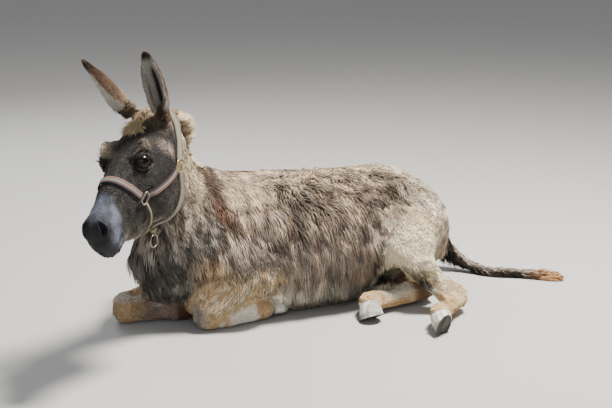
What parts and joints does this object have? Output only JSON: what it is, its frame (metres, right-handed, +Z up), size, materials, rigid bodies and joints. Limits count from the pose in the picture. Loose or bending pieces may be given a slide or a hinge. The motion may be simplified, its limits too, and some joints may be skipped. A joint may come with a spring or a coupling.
{
  "type": "lying donkey model with halter",
  "caption": "Life-size still model of a shaggy donkey lying on its brisket, legs folded, head turned to its left, wearing a plain webbing halter.",
  "frame": {"origin": "on the ground under the middle of the barrel, near the navel", "axes": "+X from the head towards the tail, -Y the animal's left side, +Z up"},
  "size_m": [1.8286, 0.8081, 0.9287],
  "materials": {
    "body_coat": "shaggy grey-brown winter coat with cream tips",
    "leg_coat": "short tan and grey coat on the lower legs",
    "face_coat": "short dark grey-brown coat, paler at the muzzle",
    "ear_coat": "brown outside and rim, pale hair inside",
    "mane_hair": "light tan upright hair",
    "tail_hair": "dark hair with a reddish tan end",
    "hoof": "grey-white horn, dark sole",
    "eye": "dark, wet",
    "webbing": "woven webbing: pale centre, red and gold-brown edges",
    "tape": "olive tape and cord",
    "brass": "dull pale gold buckle",
    "wire": "dull wire"
  },
  "bodies": {
    "root": {"ear_left": "ear_coat", "ear_right": "ear_coat", "eye_left": "eye", "eye_right": "eye", "fore_left_hoof": "hoof", "fore_left_lower": "leg_coat", "fore_left_upper": "body_coat", "fore_right_hoof": "hoof", "fore_right_lower": "leg_coat", "fore_right_upper": "body_coat", "forelock": "mane_hair", "halter_buckle_left": "brass", "halter_buckle_right": "brass", "halter_cheek_left": "webbing", "halter_cheek_right": "webbing", "halter_chin": "tape", "halter_crown": "tape", "halter_knot": "tape", "halter_noseband": "webbing", "halter_ring_left": "webbing", "halter_ring_right": "webbing", "halter_throat": "tape", "halter_wire_ring": "wire", "head": "face_coat", "hind_left_hoof": "hoof", "hind_left_lower": "leg_coat", "hind_left_upper": "body_coat", "hind_right_hoof": "hoof", "hind_right_lower": "leg_coat", "hind_right_upper": "body_coat", "mane": "mane_hair", "neck": "body_coat", "tail_dock": "body_coat", "tail_switch": "tail_hair", "trunk": "body_coat"}
  },
  "joints": []
}
